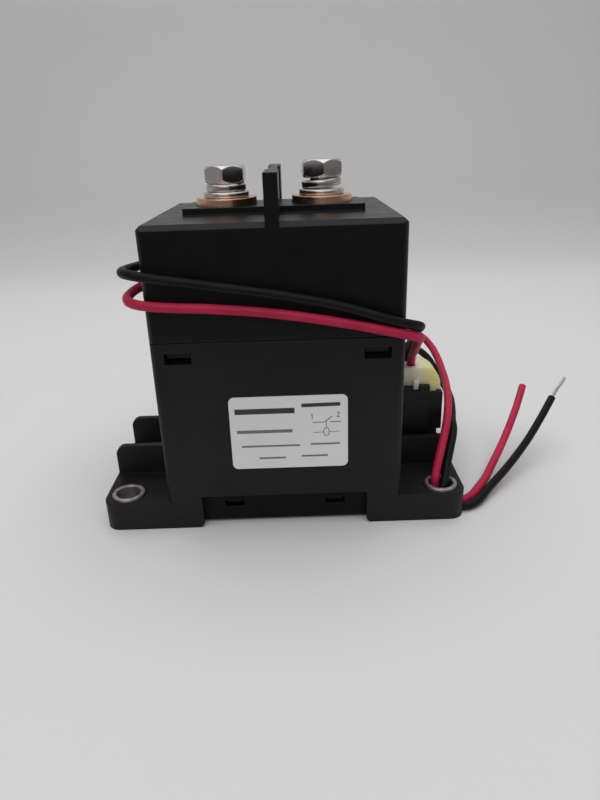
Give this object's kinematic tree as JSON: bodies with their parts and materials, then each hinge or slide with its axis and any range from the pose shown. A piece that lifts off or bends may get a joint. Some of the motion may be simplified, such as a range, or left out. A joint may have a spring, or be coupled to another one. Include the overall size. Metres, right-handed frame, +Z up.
{
  "type": "high voltage dc contactor",
  "caption": "Black sealed DC contactor with bolted copper terminals parted by a barrier wall, eared base, plug-in coil connector and loose red and black coil leads.",
  "frame": {"origin": "centre of the base's footprint, on the mounting plane", "axes": "+X to the right along the ears, +Y to the back (the label faces -Y), +Z up"},
  "size_m": [0.1444, 0.0714, 0.0933],
  "materials": {
    "base_black": "fine moulded texture, matte",
    "cover_black": "smooth moulded, satin",
    "plated_steel": "nickel plated",
    "copper": "bare turned copper",
    "label_white": "matt white film",
    "rubber_pad": "matt",
    "chamber_ceramic": "unglazed alumina",
    "sealing_metal": "bright drawn sheet",
    "magnet_grey": "ground ferrite",
    "magnet_steel": "zinc plated soft iron",
    "bobbin_nylon": "natural nylon",
    "coil_copper": "enamelled wire",
    "spring_steel": "drawn steel",
    "contact_brass": "tinned brass",
    "plug_nylon": "natural nylon, slightly translucent",
    "lead_red_pvc": "smooth insulation",
    "lead_black_pvc": "smooth insulation",
    "tinned_copper": "tinned strands"
  },
  "bodies": {
    "housing": {"base_housing": "base_black", "bottom_plate": "base_black", "coil_socket": "base_black", "top_cover": "cover_black", "mounting_bushings": "plated_steel", "flat_washers": "plated_steel", "spring_washers": "plated_steel", "terminal_bolts": "plated_steel", "terminal_left": "copper", "terminal_right": "copper", "front_label": "label_white", "chamber_pad": "rubber_pad", "arc_chamber": "chamber_ceramic", "chamber_frame": "sealing_metal", "guide_sleeve": "sealing_metal", "blow_magnets": "magnet_grey", "magnet_band": "magnet_steel", "yoke_plate": "magnet_steel", "yoke_frame": "magnet_steel", "fixed_core": "magnet_steel", "coil_bobbin": "bobbin_nylon", "coil_winding": "coil_copper", "coil_tails": "coil_copper", "return_spring": "spring_steel", "socket_pins": "contact_brass", "plug_contacts": "contact_brass", "coil_plug": "plug_nylon", "lead_red": "lead_red_pvc", "lead_black": "lead_black_pvc", "lead_strands": "tinned_copper"},
    "armature": {"plunger": "magnet_steel", "drive_shaft": "spring_steel", "spring_seat": "spring_steel", "shaft_clip": "spring_steel", "contact_spring": "spring_steel"},
    "bridge": {"contact_bridge": "copper"}
  },
  "joints": [
    {"name": "armature_slide", "type": "slide", "parent": "housing", "child": "armature", "axis": [0, 0, 1], "range_m": [0, 0.0024], "stiffness_N_per_m": 1500, "springref_m": -0.004, "deforming": ["return_spring", "contact_spring"]},
    {"name": "bridge_slide", "type": "slide", "parent": "housing", "child": "bridge", "axis": [0, 0, 1], "range_m": [0, 0.0018]}
  ],
  "couplings": [
    {"joint": "bridge_slide", "follows": "armature_slide", "ratio": 0.75}
  ]
}
